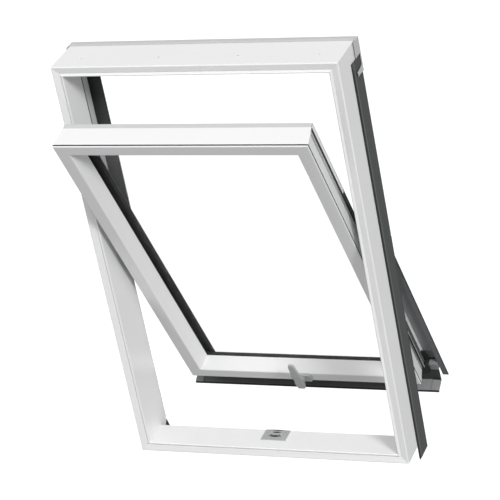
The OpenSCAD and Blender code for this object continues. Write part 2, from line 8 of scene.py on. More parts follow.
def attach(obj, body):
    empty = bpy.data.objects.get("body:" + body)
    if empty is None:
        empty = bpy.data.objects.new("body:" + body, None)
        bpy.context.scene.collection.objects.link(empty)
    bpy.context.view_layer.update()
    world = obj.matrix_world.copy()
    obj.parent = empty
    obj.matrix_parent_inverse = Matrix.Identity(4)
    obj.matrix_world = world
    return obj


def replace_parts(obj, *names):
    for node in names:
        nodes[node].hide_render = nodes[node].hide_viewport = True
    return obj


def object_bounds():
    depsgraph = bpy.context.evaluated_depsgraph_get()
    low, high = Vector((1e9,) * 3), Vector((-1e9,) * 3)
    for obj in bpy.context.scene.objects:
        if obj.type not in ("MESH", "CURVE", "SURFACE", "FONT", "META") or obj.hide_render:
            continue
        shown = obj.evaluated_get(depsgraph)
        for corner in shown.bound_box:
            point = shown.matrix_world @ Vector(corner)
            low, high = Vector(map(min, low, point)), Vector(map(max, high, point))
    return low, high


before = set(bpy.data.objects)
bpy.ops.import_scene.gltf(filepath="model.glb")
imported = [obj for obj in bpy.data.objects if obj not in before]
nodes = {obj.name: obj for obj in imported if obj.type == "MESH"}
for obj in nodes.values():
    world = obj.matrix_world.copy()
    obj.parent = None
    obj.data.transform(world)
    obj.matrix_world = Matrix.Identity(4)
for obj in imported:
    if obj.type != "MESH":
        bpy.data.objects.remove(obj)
cadLow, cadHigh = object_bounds()
scene = bpy.context.scene
print("frame loaded with", len(nodes), "nodes")

# the window's own measures, in metres
window = {
    "width": 0.780, "height": 1.180, "depth": 0.124, "face": 0.028,
    "sashWidth": 0.6874, "sashHeight": 1.091,
    "setBack": 0.0527, "openAngle": 25.5,
    "pivotDepth": 0.150, "pivotHeight": 0.599, "sashCentre": 0.587,
}
halfDepth = window["depth"] / 2
frameTop = window["height"] * 1000
jambFace = (window["width"] / 2 - window["face"]) * 1000
sashFrame = (
    Matrix.Translation((0, window["pivotDepth"] - halfDepth, window["pivotHeight"]))
    @ Matrix.Rotation(math.radians(window["openAngle"]), 4, "X")
    @ Matrix.Translation((0, window["setBack"] - window["pivotDepth"],
                          window["sashCentre"] - window["pivotHeight"]))
)
millimetre = Matrix.Scale(0.001, 4)
sashSpace = sashFrame @ millimetre
roomSpace = Matrix.Translation((0, -halfDepth, 0)) @ millimetre

cameraView = {
    "place": (2.35982, -4.90154, 3.47736),
    "right": (0.924934, 0.335967, -0.177830),
    "down": (0.014684, -0.499045, -0.866451),
    "ahead": (-0.379844, 0.798799, -0.466517),
    "lens": 169.04, "sensor": 36.0, "clipEnd": 200.0,
}
light = {
    "keyTowards": (1.2, -1.0, 1.1), "keyStrength": 1.75, "keyAngle": 14.0,
    "fillTowards": (0.0, -0.55, 0.83), "fillStrength": 0.75, "fillAngle": 60.0,
    "worldGlow": 0.54, "floorGlow": 0.16, "floorPaint": 0.15,
    "floorDrop": 0.9, "floorSize": 60.0,
}


def addCamera():
    data = bpy.data.cameras.new("camera")
    data.lens = cameraView["lens"]
    data.sensor_width = cameraView["sensor"]
    data.clip_end = cameraView["clipEnd"]
    cam = bpy.data.objects.new("camera", data)
    right, down, ahead = (Vector(cameraView[k]) for k in ("right", "down", "ahead"))
    turn = Matrix((right, -down, -ahead)).transposed().to_4x4()
    cam.matrix_world = Matrix.Translation(cameraView["place"]) @ turn
    scene.collection.objects.link(cam)
    scene.camera = cam


def seenOrLit(tree, seenColour, litStrength):
    # plain white to the camera, softer as a light
    path = tree.nodes.new("ShaderNodeLightPath")
    mix = tree.nodes.new("ShaderNodeMix")
    mix.data_type = "FLOAT"
    mix.inputs[2].default_value = litStrength
    mix.inputs[3].default_value = seenColour
    tree.links.new(path.outputs["Is Camera Ray"], mix.inputs[0])
    return mix.outputs[0]


def addStudio():
    for role in ("key", "fill"):
        sunData = bpy.data.lights.new(role + "Light", "SUN")
        sunData.energy = light[role + "Strength"]
        sunData.angle = math.radians(light[role + "Angle"])
        sun = bpy.data.objects.new(role + "Light", sunData)
        sun.rotation_mode = "QUATERNION"
        sun.rotation_quaternion = Vector(light[role + "Towards"]).to_track_quat("Z", "Y")
        scene.collection.objects.link(sun)

    world = bpy.data.worlds.new("studio")
    world.use_nodes = True
    back = world.node_tree.nodes["Background"]
    back.inputs["Color"].default_value = (1, 1, 1, 1)
    world.node_tree.links.new(seenOrLit(world.node_tree, 1.0, light["worldGlow"]),
                              back.inputs["Strength"])
    scene.world = world
    scene.view_settings.view_transform = "Standard"

    half, drop = light["floorSize"], cadLow.z - light["floorDrop"]
    mesh = bpy.data.meshes.new("floor")
    mesh.from_pydata([(-half, -half, drop), (half, -half, drop), (half, half, drop),
                      (-half, half, drop)], [], [(0, 1, 2, 3)])
    floor = bpy.data.objects.new("floor", mesh)
    scene.collection.objects.link(floor)
    paint = bpy.data.materials.new("floorPaint")
    paint.use_nodes = True
    shader = paint.node_tree.nodes["Principled BSDF"]
    shader.inputs["Base Color"].default_value = (*[light["floorPaint"]] * 3, 1)
    shader.inputs["Roughness"].default_value = 1.0
    shader.inputs["Specular IOR Level"].default_value = 0.0
    shader.inputs["Emission Color"].default_value = (1, 1, 1, 1)
    paint.node_tree.links.new(seenOrLit(paint.node_tree, 1.0, light["floorGlow"]),
                              shader.inputs["Emission Strength"])
    mesh.materials.append(paint)


addCamera()
addStudio()
print("camera, light and floor are set")


# shader groups shared by the finishes
def newGroup(name, inputs, outputs):
    group = bpy.data.node_groups.new(name, "ShaderNodeTree")
    for label, kind, value in inputs:
        socket = group.interface.new_socket(name=label, in_out="INPUT", socket_type=kind)
        if value is not None:
            socket.default_value = value
    for label, kind in outputs:
        group.interface.new_socket(name=label, in_out="OUTPUT", socket_type=kind)
    return group, group.nodes.new("NodeGroupInput"), group.nodes.new("NodeGroupOutput")


def mathNode(tree, operation, a, b, c=None):
    node = tree.nodes.new("ShaderNodeMath")
    node.operation = operation
    for i, value in enumerate((a, b, c)):
        if value is None:
            continue
        if isinstance(value, (int, float)):
            node.inputs[i].default_value = value
        else:
            tree.links.new(value, node.inputs[i])
    return node.outputs[0]


def noiseNode(tree, vector, scale, detail=3.0, rough=0.5):
    node = tree.nodes.new("ShaderNodeTexNoise")
    node.inputs["Detail"].default_value = detail
    node.inputs["Roughness"].default_value = rough
    tree.links.new(vector, node.inputs["Vector"])
    if isinstance(scale, (int, float)):
        node.inputs["Scale"].default_value = scale
    else:
        tree.links.new(scale, node.inputs["Scale"])
    return node.outputs[0]


def shadeBy(tree, colour, factor):
    # colour times a grey factor
    node = tree.nodes.new("ShaderNodeMix")
    node.data_type = "RGBA"
    node.blend_type = "MULTIPLY"
    node.inputs[0].default_value = 1.0
    tree.links.new(colour, node.inputs[6])
    grey = tree.nodes.new("ShaderNodeCombineColor")
    for i in range(3):
        tree.links.new(factor, grey.inputs[i])
    tree.links.new(grey.outputs[0], node.inputs[7])
    return node.outputs[2]


def surfaceGroup():
    group, gin, gout = newGroup(
        "surfaceVariation",
        [("Vector", "NodeSocketVector", None), ("Colour", "NodeSocketColor", (1, 1, 1, 1)),
         ("Patch Scale", "NodeSocketFloat", 8.0), ("Patch Amount", "NodeSocketFloat", 0.03),
         ("Grain Scale", "NodeSocketFloat", 900.0), ("Roughness", "NodeSocketFloat", 0.4),
         ("Roughness Spread", "NodeSocketFloat", 0.06)],
        [("Colour", "NodeSocketColor"), ("Roughness", "NodeSocketFloat"),
         ("Height", "NodeSocketFloat")])
    patch = noiseNode(group, gin.outputs["Vector"], gin.outputs["Patch Scale"], 4.0)
    grain = noiseNode(group, gin.outputs["Vector"], gin.outputs["Grain Scale"], 2.0)
    swing = mathNode(group, "SUBTRACT", patch, 0.5)
    factor = mathNode(group, "MULTIPLY_ADD", swing, gin.outputs["Patch Amount"], 1.0)
    spread = mathNode(group, "SUBTRACT", mathNode(group, "ADD", patch, grain), 1.0)
    rough = mathNode(group, "MULTIPLY_ADD", spread, gin.outputs["Roughness Spread"],
                     gin.outputs["Roughness"])
    group.links.new(shadeBy(group, gin.outputs["Colour"], factor), gout.inputs["Colour"])
    group.links.new(rough, gout.inputs["Roughness"])
    group.links.new(grain, gout.inputs["Height"])
    return group


def brushedGroup():
    group, gin, gout = newGroup(
        "brushedLines",
        [("Vector", "NodeSocketVector", None), ("Colour", "NodeSocketColor", (1, 1, 1, 1)),
         ("Line Scale", "NodeSocketFloat", 500.0), ("Amount", "NodeSocketFloat", 0.1)],
        [("Colour", "NodeSocketColor"), ("Mask", "NodeSocketFloat")])
    stretch = group.nodes.new("ShaderNodeVectorMath")
    stretch.operation = "MULTIPLY"
    # the lines run along z
    stretch.inputs[1].default_value = (1.0, 1.0, 0.02)
    group.links.new(gin.outputs["Vector"], stretch.inputs[0])
    lines = noiseNode(group, stretch.outputs[0], gin.outputs["Line Scale"], 2.0)
    swing = mathNode(group, "SUBTRACT", lines, 0.5)
    factor = mathNode(group, "MULTIPLY_ADD", swing, gin.outputs["Amount"], 1.0)
    group.links.new(shadeBy(group, gin.outputs["Colour"], factor), gout.inputs["Colour"])
    group.links.new(lines, gout.inputs["Mask"])
    return group


def spangleGroup():
    group, gin, gout = newGroup(
        "zincSpangle",
        [("Vector", "NodeSocketVector", None), ("Colour", "NodeSocketColor", (1, 1, 1, 1)),
         ("Crystal Scale", "NodeSocketFloat", 90.0), ("Amount", "NodeSocketFloat", 0.35)],
        [("Colour", "NodeSocketColor"), ("Mask", "NodeSocketFloat")])
    cells = group.nodes.new("ShaderNodeTexVoronoi")
    group.links.new(gin.outputs["Vector"], cells.inputs["Vector"])
    group.links.new(gin.outputs["Crystal Scale"], cells.inputs["Scale"])
    split = group.nodes.new("ShaderNodeSeparateColor")
    group.links.new(cells.outputs["Color"], split.inputs[0])
    swing = mathNode(group, "SUBTRACT", split.outputs[0], 0.5)
    factor = mathNode(group, "MULTIPLY_ADD", swing, gin.outputs["Amount"], 1.0)
    group.links.new(shadeBy(group, gin.outputs["Colour"], factor), gout.inputs["Colour"])
    group.links.new(split.outputs[0], gout.inputs["Mask"])
    return group


surfaceVariation = surfaceGroup()
brushedLines = brushedGroup()
zincSpangle = spangleGroup()

# every finish on the window
finishes = {
    "whitePlastic": {"colour": (0.84, 0.845, 0.84), "rough": 0.30, "spread": 0.05, "patch": 7,
                     "patchAmount": 0.025, "grain": 700, "bump": 0.00002, "coat": 0.15},
    "darkCoat": {"colour": (0.062, 0.065, 0.065), "rough": 0.5, "spread": 0.06, "patch": 14,
                 "patchAmount": 0.12, "grain": 1600, "bump": 0.00005},
    "greyCoat": {"colour": (0.60, 0.61, 0.605), "rough": 0.42, "spread": 0.08, "patch": 12,
                 "patchAmount": 0.06, "grain": 1500, "bump": 0.00004, "metal": 0.15},
    # primer grey, also used as painted light: the pale end of the apron's lining stands for a
    # reflection, and the sheets under the lower covers lift their shade
    "primerAndPaintedLight": {"colour": (0.27, 0.275, 0.28), "rough": 0.55, "spread": 0.06, "patch": 16,
               "patchAmount": 0.08, "grain": 1500, "bump": 0.00004},
    "bareMetal": {"colour": (0.72, 0.73, 0.74), "rough": 0.30, "spread": 0.10, "patch": 20,
                  "patchAmount": 0.08, "grain": 900, "bump": 0.00003, "metal": 0.9, "lines": 0.25},
    "galvanised": {"colour": (0.55, 0.57, 0.59), "rough": 0.42, "spread": 0.12, "patch": 25,
                   "patchAmount": 0.10, "grain": 700, "bump": 0.00004, "metal": 0.9,
                   "spangle": 0.35},
    "zincPlate": {"colour": (0.52, 0.53, 0.54), "rough": 0.45, "spread": 0.10, "patch": 40,
                  "patchAmount": 0.12, "grain": 1200, "bump": 0.00003, "metal": 0.6,
                  "lines": 0.12},
    "satinZinc": {"colour": (0.46, 0.47, 0.475), "rough": 0.4, "spread": 0.10, "patch": 40,
                  "patchAmount": 0.12, "grain": 1200, "bump": 0.00003, "metal": 0.3,
                  "lines": 0.12},
    "liningCoat": {"colour": (0.125, 0.127, 0.13), "rough": 0.42, "spread": 0.08, "patch": 12,
                   "patchAmount": 0.10, "grain": 900, "bump": 0.00003},
    "deepCoat": {"colour": (0.034, 0.035, 0.036), "rough": 0.42, "spread": 0.08, "patch": 12,
                 "patchAmount": 0.10, "grain": 900, "bump": 0.00003},
    "coverCoat": {"colour": (0.150, 0.153, 0.158), "rough": 0.42, "spread": 0.08, "patch": 12,
                  "patchAmount": 0.10, "grain": 900, "bump": 0.00003},
    "brightZinc": {"colour": (0.86, 0.865, 0.87), "rough": 0.4, "spread": 0.08, "patch": 40,
                   "patchAmount": 0.12, "grain": 1200, "bump": 0.00003, "metal": 0.1,
                   "spangle": 0.12},
    "silverLacquer": {"colour": (0.52, 0.53, 0.535), "rough": 0.33, "spread": 0.06, "patch": 30,
                      "patchAmount": 0.05, "grain": 1800, "bump": 0.00002, "metal": 0.3,
                      "coat": 0.3},
    "greyPlastic": {"colour": (0.20, 0.205, 0.205), "rough": 0.5, "spread": 0.08, "patch": 25,
                    "patchAmount": 0.10, "grain": 1400, "bump": 0.00005},
    # black rubber, also used as painted shade for the strips in the gaps beside the sash's side
    # trims
    "rubberAndPaintedShade": {"colour": (0.014, 0.014, 0.015), "rough": 0.58, "spread": 0.12, "patch": 30,
               "patchAmount": 0.5, "grain": 1500, "bump": 0.00008},
    "softRubber": {"colour": (0.045, 0.046, 0.047), "rough": 0.6, "spread": 0.12, "patch": 30,
                   "patchAmount": 0.5, "grain": 1500, "bump": 0.00008},
    "spacerMetal": {"colour": (0.020, 0.021, 0.022), "rough": 0.7, "spread": 0.08, "patch": 60,
                    "patchAmount": 0.3, "grain": 2500, "bump": 0.00008},
    "clearGlass": {"colour": (0.97, 0.985, 0.98), "rough": 0.004, "spread": 0.004, "patch": 5,
                   "patchAmount": 0.01, "grain": 60, "bump": 0.0000002, "glass": 1.0,
                   "alpha": 0.035},
}


def makeFinish(name):
    look = finishes[name]
    material = bpy.data.materials.new(name)
    material.use_nodes = True
    tree = material.node_tree
    shader = tree.nodes["Principled BSDF"]
    where = tree.nodes.new("ShaderNodeTexCoord")
    surface = tree.nodes.new("ShaderNodeGroup")
    surface.node_tree = surfaceVariation
    tree.links.new(where.outputs["Object"], surface.inputs["Vector"])
    surface.inputs["Colour"].default_value = (*look["colour"], 1)
    surface.inputs["Patch Scale"].default_value = look["patch"]
    surface.inputs["Patch Amount"].default_value = look["patchAmount"]
    surface.inputs["Grain Scale"].default_value = look["grain"]
    surface.inputs["Roughness"].default_value = look["rough"]
    surface.inputs["Roughness Spread"].default_value = look["spread"]
    colour = surface.outputs["Colour"]
    for key, tool in (("lines", brushedLines), ("spangle", zincSpangle)):
        if key in look:
            extra = tree.nodes.new("ShaderNodeGroup")
            extra.node_tree = tool
            extra.inputs["Amount"].default_value = look[key]
            tree.links.new(where.outputs["Object"], extra.inputs["Vector"])
            tree.links.new(colour, extra.inputs["Colour"])
            colour = extra.outputs["Colour"]
    tree.links.new(colour, shader.inputs["Base Color"])
    tree.links.new(surface.outputs["Roughness"], shader.inputs["Roughness"])
    bump = tree.nodes.new("ShaderNodeBump")
    bump.inputs["Distance"].default_value = look["bump"]
    tree.links.new(surface.outputs["Height"], bump.inputs["Height"])
    tree.links.new(bump.outputs["Normal"], shader.inputs["Normal"])
    shader.inputs["Metallic"].default_value = look.get("metal", 0.0)
    shader.inputs["Coat Weight"].default_value = look.get("coat", 0.0)
    shader.inputs["Coat Roughness"].default_value = 0.12
    shader.inputs["Transmission Weight"].default_value = look.get("glass", 0.0)
    shader.inputs["Alpha"].default_value = look.get("alpha", 1.0)
    return material


finish = {name: makeFinish(name) for name in finishes}
print("finishes made:", len(finish))

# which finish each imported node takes, with the rounding of its edges in millimetres
nodeFinish = {
    "whitePlastic": (0.5, ["frame_head", "frame_sill", "frame_jamb_left", "frame_jamb_right",
                           "sash_top", "sash_bottom", "sash_left", "sash_right"]),
    "darkCoat": (0.35, ["side_cladding_left", "side_cladding_right", "upper_cover_left",
                        "upper_cover_right", "sill_cladding", "sash_cover_bottom",
                        "sash_cover_left", "sash_cover_right"]),
    "deepCoat": (0.35, ["apron"]),
    "coverCoat": (0.35, ["lower_cover_left", "lower_cover_right"]),
    "greyCoat": (0.35, ["head_cap", "sash_cover_top", "upper_trims"]),
    "brightZinc": (0.3, ["cover_rail_left", "cover_rail_right"]),
    "primerAndPaintedLight": (0.4, ["apron_ends"]),
    "galvanised": (0.3, ["frame_steel_head", "frame_steel_sill", "frame_steel_left",
                         "frame_steel_right", "sash_steel_top", "sash_steel_bottom",
                         "sash_steel_left", "sash_steel_right"]),
    "zincPlate": (0.3, ["strike_plate", "frame_hinge_left", "frame_hinge_right", "pivot_pins",
                        "frame_screws", "sash_hinge_left", "sash_hinge_right", "sash_screws",
                        "lock_case", "handle_spindle", "latch_tongue"]),
    "silverLacquer": (0.8, ["handle_base", "handle_lever"]),
    "greyPlastic": (0.4, ["friction_pads", "setting_blocks"]),
    "rubberAndPaintedShade": (0.4, ["cladding_seal_left", "cladding_seal_right", "frame_seal", "edge_seal",
                     "inner_gasket", "outer_gasket", "apron_seal", "sash_seal"]),
    "spacerMetal": (0.3, ["spacer_bar"]),
    "clearGlass": (0.3, ["glass_inner", "glass_outer"]),
}


edge = {"weld": 0.000002, "join": 0.000001, "segments": 2, "angle": 35.0}


def roundEdges(piece, widthMm):
    weld = piece.modifiers.new("weld", "WELD")
    weld.merge_threshold = edge["weld"]
    bevel = piece.modifiers.new("roundEdges", "BEVEL")
    bevel.width = widthMm / 1000
    bevel.segments = edge["segments"]
    bevel.limit_method = "ANGLE"
    bevel.angle_limit = math.radians(edge["angle"])
    bevel.harden_normals = True
    bevel.use_clamp_overlap = True


for name, (widthMm, members) in nodeFinish.items():
    for member in members:
        piece = nodes[member]
        piece.data.materials.clear()
        piece.data.materials.append(finish[name])
        roundEdges(piece, widthMm)
print("finishes given to the packed nodes")


def addPiece(name, space, solids, look, body, rounding=0.0, sharp=edge["angle"]):
    # one object from a list of (points, faces) in the given space, in millimetres
    build = bmesh.new()
    for points, faces in solids:
        made = [build.verts.new(space @ Vector(point)) for point in points]
        for face in faces:
            build.faces.new([made[i] for i in face])
    bmesh.ops.remove_doubles(build, verts=build.verts, dist=edge["join"])
    bmesh.ops.recalc_face_normals(build, faces=build.faces)
    mesh = bpy.data.meshes.new(name)
    build.to_mesh(mesh)
    build.free()
    mesh.shade_smooth()
    mesh.set_sharp_from_angle(angle=math.radians(sharp))
    mesh.materials.append(finish[look])
    piece = bpy.data.objects.new(name, mesh)
    scene.collection.objects.link(piece)
    if rounding:
        roundEdges(piece, rounding)
    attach(piece, body)
    return piece


def arcPoints(centre, radius, start, end, steps):
    return [(centre[0] + radius * math.cos(math.radians(start + (end - start) * i / steps)),
             centre[1] + radius * math.sin(math.radians(start + (end - start) * i / steps)))
            for i in range(steps + 1)]


def ringFaces(rings, count, closed=False):
    # quads between rings of points, with both ends capped unless the rings close up
    faces = []
    for r in range(rings if closed else rings - 1):
        low, high = r * count, ((r + 1) % rings) * count
        for i in range(count):
            j = (i + 1) % count
            faces.append((low + i, low + j, high + j, high + i))
    if not closed:
        faces.append(tuple(reversed(range(count))))
        faces.append(tuple((rings - 1) * count + i for i in range(count)))
    return faces


def prism(section, axis, low, high):
    # the section lies in the two axes left over, in their order
    spread = {"x": lambda p, t: (t, p[0], p[1]), "z": lambda p, t: (p[0], p[1], t)}[axis]
    points = [spread(p, t) for t in (low, high) for p in section]
    return points, ringFaces(2, len(section))


def mirrored(solid):
    points, faces = solid
    return [(-x, y, z) for x, y, z in points], faces


def sashLoop(section, side=0.0, top=None, bottom=None):
    # a section of (inset, depth) carried round the sash with mitred corners
    top = side if top is None else top
    bottom = side if bottom is None else bottom
    halfX = window["sashWidth"] * 500
    halfZ = window["sashHeight"] * 500
    points = []
    for x, z in ((-1, -1), (1, -1), (1, 1), (-1, 1)):
        end = top if z > 0 else bottom
        points += [(x * (halfX - side - a), n, z * (halfZ - end - a)) for a, n in section]
    return points, ringFaces(4, len(section), closed=True)


def lathe(profile, steps=32):
    # (radius, height) turned about the local z axis
    points = [(r * math.cos(2 * math.pi * i / steps), r * math.sin(2 * math.pi * i / steps), h)
              for r, h in profile for i in range(steps)]
    return points, ringFaces(len(profile), steps)


def placed(solid, matrix):
    points, faces = solid
    return [tuple(matrix @ Vector(point)) for point in points], faces


def plateWithHoles(outline, holes, low, high, chamfer=0.0):
    # a flat plate in the local xy plane, with a chamfer along its upper outer edge
    cx = sum(p[0] for p in outline) / len(outline)
    cy = sum(p[1] for p in outline) / len(outline)
    top = []
    for x, y in outline:
        reach = math.hypot(x - cx, y - cy)
        keep = 1 - chamfer / reach
        top.append((cx + (x - cx) * keep, cy + (y - cy) * keep))
    count = len(outline)
    points = [(x, y, low) for x, y in outline]
    points += [(x, y, high - chamfer) for x, y in outline]
    points += [(x, y, high) for x, y in top]
    faces = []
    for level in range(2):
        for i in range(count):
            j = (i + 1) % count
            faces.append((level * count + i, level * count + j,
                          (level + 1) * count + j, (level + 1) * count + i))
    lowRing = list(range(count))
    highRing = list(range(2 * count, 3 * count))
    lowLoops, highLoops = [lowRing], [highRing]
    for hole in holes:
        start = len(points)
        size = len(hole)
        points += [(x, y, low) for x, y in hole] + [(x, y, high) for x, y in hole]
        for i in range(size):
            j = (i + 1) % size
            faces.append((start + i, start + j, start + size + j, start + size + i))
        lowLoops.append(list(range(start, start + size)))
        highLoops.append(list(range(start + size, start + 2 * size)))
    for loops in (lowLoops, highLoops):
        flat = [i for loop in loops for i in loop]
        for triangle in tessellate_polygon([[Vector(points[i]) for i in loop] for loop in loops]):
            faces.append(tuple(flat[i] for i in triangle))
    return points, faces


def circlePoints(x, y, radius, steps=24):
    return [(x + radius * math.cos(2 * math.pi * i / steps),
             y + radius * math.sin(2 * math.pi * i / steps)) for i in range(steps)]


# shares of the head's and the shank's sizes, then the thread's pitch and the plain neck's length
screwShape = {"sides": 24, "arm": 0.62, "slot": 0.16, "recess": 0.6, "recessFoot": 0.55,
              "dome": 0.86, "shoulder": 0.35, "root": 0.78, "pitch": 1.1, "neck": 1.0}


def screwSolid(headRadius, headHeight, shankRadius, shankLength, flat):
    # axis along local z, the head's top at zero, with a cross recess
    steps, pitch = screwShape["sides"], screwShape["pitch"]
    arm, half = headRadius * screwShape["arm"], headRadius * screwShape["slot"]
    depth = headHeight * screwShape["recess"]
    dome = headRadius * screwShape["dome"]
    root = shankRadius * screwShape["root"]
    outer = circlePoints(0, 0, headRadius if flat else dome, steps)
    cross = [(half, -arm), (half, -half), (arm, -half), (arm, half), (half, half), (half, arm),
             (-half, arm), (-half, half), (-arm, half), (-arm, -half), (-half, -half),
             (-half, -arm)]
    points = [(x, y, 0) for x, y in outer] + [(x, y, 0) for x, y in cross]
    faces = [tuple(t) for t in tessellate_polygon(
        [[Vector(p) for p in points[:steps]], [Vector(p) for p in points[steps:]]])]
    pit = len(points)
    foot = screwShape["recessFoot"]
    points += [(x * foot, y * foot, -depth) for x, y in cross]
    for i in range(len(cross)):
        j = (i + 1) % len(cross)
        faces.append((steps + i, steps + j, pit + j, pit + i))
    faces.append(tuple(range(pit, pit + len(cross))))
    if flat:
        profile = [(headRadius, 0), (shankRadius, shankRadius - headRadius)]
    else:
        profile = [(dome, 0), (headRadius, -headHeight * screwShape["shoulder"]),
                   (headRadius, -headHeight), (shankRadius, -headHeight)]
    reach = profile[-1][1] - screwShape["neck"]
    while reach - pitch > -shankLength:
        profile += [(shankRadius, reach), (root, reach - pitch / 2)]
        reach -= pitch
    profile += [(root, -shankLength)]
    start = len(points)
    ring, ringQuads = lathe(profile, steps)
    points += ring
    # the top ring is shared with the head's face, so its cap is left out
    for face in ringQuads:
        if face != tuple(reversed(range(steps))):
            faces.append(tuple(start + i for i in face))
    return points, faces


hingeScrews = {"headRadius": 4.0, "headHeight": 2.0, "shankRadius": 1.95, "spread": 30,
               "frameX": 358.0, "frameDepths": (97, 109), "frameLength": 13,
               "sashX": 348.2, "sashDepths": (21, 32), "sashLength": 22, "pivotUp": 12}


def hingeScrew(x, depth, up, length, quarter):
    # a flush screw whose axis runs across the window
    solid = screwSolid(hingeScrews["headRadius"], hingeScrews["headHeight"],
                       hingeScrews["shankRadius"], length, True)
    return placed(solid, Matrix.Translation((x, depth, up))
                  @ Matrix.Rotation(math.radians(quarter), 4, "Y"))


frameScrews, sashScrews = [], []
for side in (-1, 1):
    for rise in (-hingeScrews["spread"], hingeScrews["spread"]):
        for depth in hingeScrews["frameDepths"]:
            frameScrews.append(hingeScrew(side * hingeScrews["frameX"], depth,
                                          window["pivotHeight"] * 1000 + rise,
                                          hingeScrews["frameLength"], -90 * side))
        for depth in hingeScrews["sashDepths"]:
            sashScrews.append(hingeScrew(side * hingeScrews["sashX"], depth,
                                         hingeScrews["pivotUp"] + rise,
                                         hingeScrews["sashLength"], 90 * side))

strike = {"x": -8.0, "halfWidth": 36.0, "front": 39.0, "back": 87.0, "low": 28.0,
          "baseTop": 30.0, "chamfer": 0.5, "raisedHalf": 24.0, "raisedFront": 45.0,
          "raisedBack": 86.9, "raisedTop": 31.0, "raisedChamfer": 0.6,
          "screwX": 29.0, "screwDepth": 78.0, "screwHole": 2.1, "slotDepths": (56.0, 74.0, 83.5),
          "slotSizes": ((17.0, 4.5), (13.0, 3.3), (17.0, 2.0)), "tongueSlot": 1}
strikeScrew = {"headRadius": 4.0, "headHeight": 1.5, "shankRadius": 1.95, "length": 11.5}


def rectanglePoints(x, halfWidth, front, back):
    return [(x - halfWidth, front), (x + halfWidth, front), (x + halfWidth, back),
            (x - halfWidth, back)]


def lensPoints(x, y, halfLength, halfWidth, steps=14):
    radius = (halfLength ** 2 + halfWidth ** 2) / (2 * halfWidth)
    half = math.degrees(math.asin(halfLength / radius))
    near = arcPoints((x, y + radius - halfWidth), radius, 270 - half, 270 + half, steps)
    far = arcPoints((x, y - radius + halfWidth), radius, 90 - half, 90 + half, steps)
    return near + far[1:-1]


for side in (-1, 1):
    spot = Matrix.Translation((strike["x"] + side * strike["screwX"], strike["screwDepth"],
                               strike["baseTop"] + strikeScrew["headHeight"]))
    frameScrews.append(placed(screwSolid(strikeScrew["headRadius"], strikeScrew["headHeight"],
                                         strikeScrew["shankRadius"], strikeScrew["length"],
                                         False), spot))
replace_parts(addPiece("frameScrewSet", roomSpace, frameScrews, "zincPlate", "frame",
                     sharp=30), "frame_screws")

strikeOutline = rectanglePoints(strike["x"], strike["halfWidth"], strike["front"],
                                strike["back"])
raisedOutline = rectanglePoints(strike["x"], strike["raisedHalf"], strike["raisedFront"],
                                strike["raisedBack"])
slotOutlines = [lensPoints(strike["x"], depth, *size)
                for depth, size in zip(strike["slotDepths"], strike["slotSizes"])]
screwHoles = [circlePoints(strike["x"] + side * strike["screwX"], strike["screwDepth"],
                           strike["screwHole"]) for side in (-1, 1)]
strikePlates = [
    plateWithHoles(strikeOutline, screwHoles + slotOutlines, strike["low"], strike["baseTop"],
                   strike["chamfer"]),
    plateWithHoles(raisedOutline, slotOutlines, strike["baseTop"], strike["raisedTop"],
                   strike["raisedChamfer"]),
]
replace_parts(addPiece("strikePlate", roomSpace, strikePlates, "satinZinc", "frame",
                     rounding=0.12, sharp=25), "strike_plate")
strikeCups = []
# share of the slot's outline, and height
cupRings = ((0.985, 30.95), (0.98, 28.9), (0.9, 28.5), (0.6, 28.2), (0.2, 28.05))
for index, rim in enumerate(slotOutlines):
    middle = (strike["x"], strike["slotDepths"][index])
    # the slot that takes the tongue keeps only its lining
    used = cupRings[:2] if index == strike["tongueSlot"] else cupRings
    rings = [[(middle[0] + (x - middle[0]) * k, middle[1] + (y - middle[1]) * k, z)
              for x, y in rim] for k, z in used]
    strikeCups.append(([p for ring in rings for p in ring],
                       ringFaces(len(rings), len(rim))))
addPiece("strikeCups", roomSpace, strikeCups, "rubberAndPaintedShade", "frame")
print("screws and strike plate made")

handle = {"up": -524.0, "baseRadius": 30.5, "baseHalf": 15.5, "baseTop": 8.0, "baseStep": 3.0,
          "chamfer": 1.4, "hubHole": 11.1, "screwX": 20, "recess": 3.5, "screwHole": 2.1,
          "screwDepth": -6.5, "headRadius": 3.3, "headHeight": 2.8, "shankRadius": 1.95,
          "screwLength": 16.0}
quarterTurn = Matrix.Rotation(math.radians(90), 4, "X")
handleSpace = sashSpace @ Matrix.Translation((0, 0, handle["up"])) @ quarterTurn
corner = math.degrees(math.asin(handle["baseHalf"] / handle["baseRadius"]))
baseOutline = (arcPoints((0, 0), handle["baseRadius"], -corner, corner, 10)
               + arcPoints((0, 0), handle["baseRadius"], 180 - corner, 180 + corner, 10))


def handleBaseHoles(radius):
    return [circlePoints(0, 0, handle["hubHole"], 40)] + [
        circlePoints(x, 0, radius) for x in (-handle["screwX"], handle["screwX"])]


basePlates = [plateWithHoles(baseOutline, handleBaseHoles(handle["recess"]), handle["baseStep"],
                             handle["baseTop"], handle["chamfer"]),
              plateWithHoles(baseOutline, handleBaseHoles(handle["screwHole"]), 0.0,
                             handle["baseStep"])]
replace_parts(addPiece("handleBase", handleSpace, basePlates, "silverLacquer", "sash",
                     rounding=0.5, sharp=25), "handle_base")
for x in (-handle["screwX"], handle["screwX"]):
    spot = Matrix.Translation((x, handle["screwDepth"], handle["up"])) @ quarterTurn
    sashScrews.append(placed(screwSolid(handle["headRadius"], handle["headHeight"],
                                        handle["shankRadius"], handle["screwLength"], False),
                             spot))
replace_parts(addPiece("sashScrewSet", sashSpace, sashScrews, "zincPlate", "sash",
                     sharp=30), "sash_screws")

